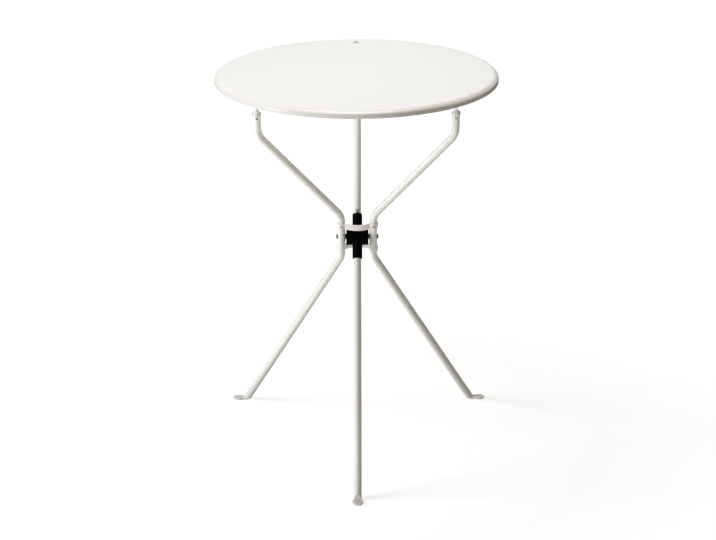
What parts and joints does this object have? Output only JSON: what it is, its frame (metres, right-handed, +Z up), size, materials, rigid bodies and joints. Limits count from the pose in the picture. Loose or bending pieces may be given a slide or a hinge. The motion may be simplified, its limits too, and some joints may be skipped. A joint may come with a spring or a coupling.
{
  "type": "folding wine table",
  "caption": "Round white metal side table on bent tube legs. The rear edge of the top lifts and a straight leg slides through a black joint, so that the table folds flat.",
  "frame": {"origin": "on the floor at the middle of the footprint, between the toe of the middle foot and the rear edge of the top", "axes": "+Z up, +X to the right as seen from the front, +Y to the rear, towards the hanging hole"},
  "size_m": [0.4999, 0.5491, 0.7],
  "materials": {
    "top_paint": "warm white powder coat, satin, on pressed sheet",
    "leg_paint": "warm white powder coat, satin, on steel tube",
    "joint_plastic": "black moulded nylon, fine matt",
    "rivet_steel": "zinc plated steel, dull"
  },
  "bodies": {
    "side_frame": {"left_leg": "leg_paint", "right_leg": "leg_paint", "left_fork": "leg_paint", "right_fork": "leg_paint", "left_hinge_pin": "rivet_steel", "right_hinge_pin": "rivet_steel", "front_bracket": "leg_paint", "rear_bracket": "leg_paint", "front_rivets": "rivet_steel", "rear_rivets": "rivet_steel", "left_pivot_pin": "rivet_steel", "right_pivot_pin": "rivet_steel", "left_washer": "joint_plastic", "right_washer": "joint_plastic", "left_cap": "joint_plastic", "right_cap": "joint_plastic"},
    "top": {"table_top": "top_paint", "left_lug": "top_paint", "right_lug": "top_paint", "rear_lug": "top_paint"},
    "sleeve": {"pivot_sleeve": "joint_plastic"},
    "middle_leg": {"middle_leg": "leg_paint", "middle_fork": "leg_paint", "rear_hinge_pin": "rivet_steel", "stop_rivet": "rivet_steel"}
  },
  "joints": [
    {"name": "top_hinge", "type": "hinge", "parent": "side_frame", "child": "top", "pos_m": [0, -0.07249, 0.6532], "axis": [1, 0, 0], "range_deg": [0, 110.43]},
    {"name": "sleeve_pivot", "type": "hinge", "parent": "side_frame", "child": "sleeve", "pos_m": [0, 0.02464, 0.3925], "axis": [1, 0, 0], "range_deg": [0, 55.22]},
    {"name": "middle_leg_hinge", "type": "hinge", "parent": "top", "child": "middle_leg", "pos_m": [0, 0.20572, 0.6532], "axis": [1, 0, 0], "range_deg": [-55.22, 0]}
  ],
  "couplings": [
    {"joint": "sleeve_pivot", "follows": "top_hinge", "ratio": 0.5},
    {"joint": "middle_leg_hinge", "follows": "top_hinge", "ratio": -0.5}
  ]
}
